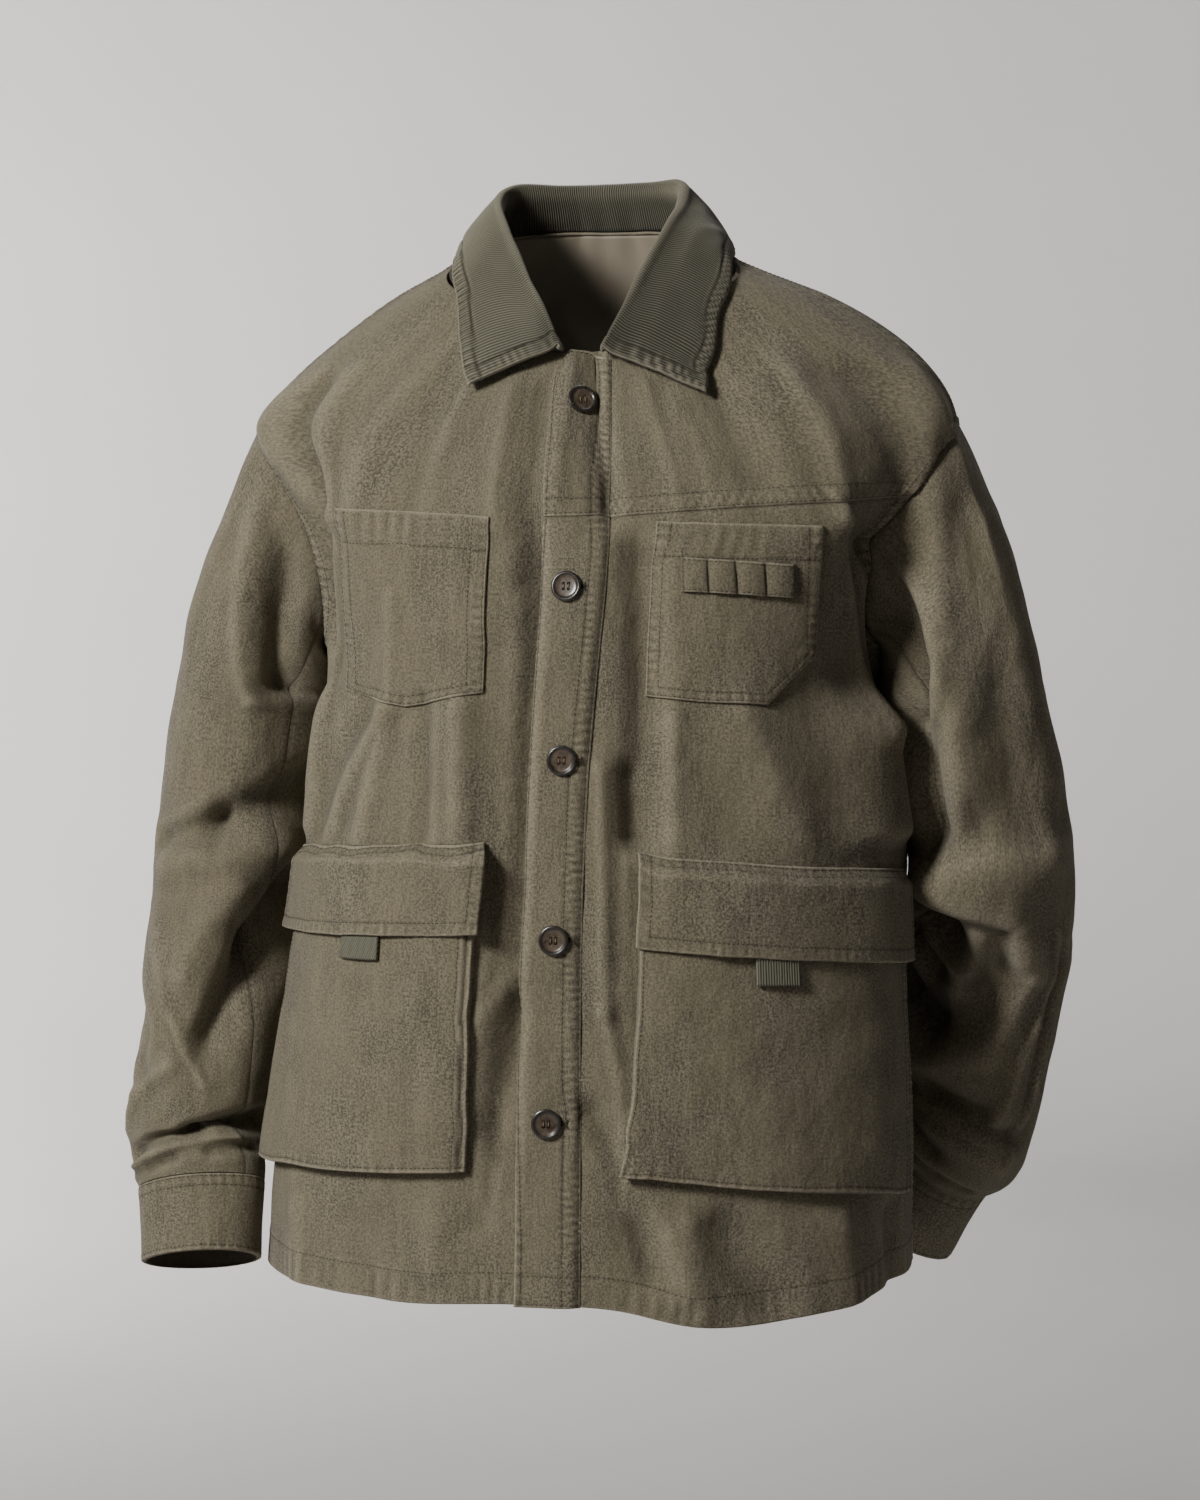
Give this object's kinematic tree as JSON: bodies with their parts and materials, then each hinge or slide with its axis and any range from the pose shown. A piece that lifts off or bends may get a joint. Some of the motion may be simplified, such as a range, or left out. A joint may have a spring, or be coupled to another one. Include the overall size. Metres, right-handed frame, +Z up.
{
  "type": "barn jacket",
  "caption": "Button-front cotton barn jacket with corduroy collar, patch and bellows pockets and cuffed sleeves, filled out as if worn.",
  "frame": {"origin": "middle of the neck opening at the height of the back neck seam, where a wearer's neck and shoulders hold the jacket", "axes": "+Z up; the front faces -Y; the wearer's left side is +X"},
  "size_m": [0.678, 0.3533, 0.7992],
  "materials": {
    "twill": "washed olive cotton twill, matte",
    "corduroy": "fine-wale corduroy, dark olive",
    "facing": "smooth brown-olive facing cloth",
    "webbing": "ribbed cotton webbing, olive green",
    "horn": "dark brown horn-like, polished rim"
  },
  "bodies": {
    "root": {"front_right": "twill", "front_left_yoke": "twill", "front_left_lower": "twill", "back": "twill", "back_facing": "facing", "collar": "corduroy", "sleeve_right_top": "twill", "sleeve_right_under": "twill", "sleeve_left_top": "twill", "sleeve_left_under": "twill", "cuff_right": "twill", "cuff_left": "twill", "placket_upper": "twill", "placket_lower": "twill", "chest_pocket_right": "twill", "chest_pocket_left": "twill", "pen_loops": "twill", "lower_pocket_right": "twill", "flap_right": "twill", "tab_right": "webbing", "lower_pocket_left": "twill", "flap_left": "twill", "tab_left": "webbing", "button_1": "horn", "button_2": "horn", "button_3": "horn", "button_4": "horn", "button_5": "horn"}
  },
  "joints": []
}
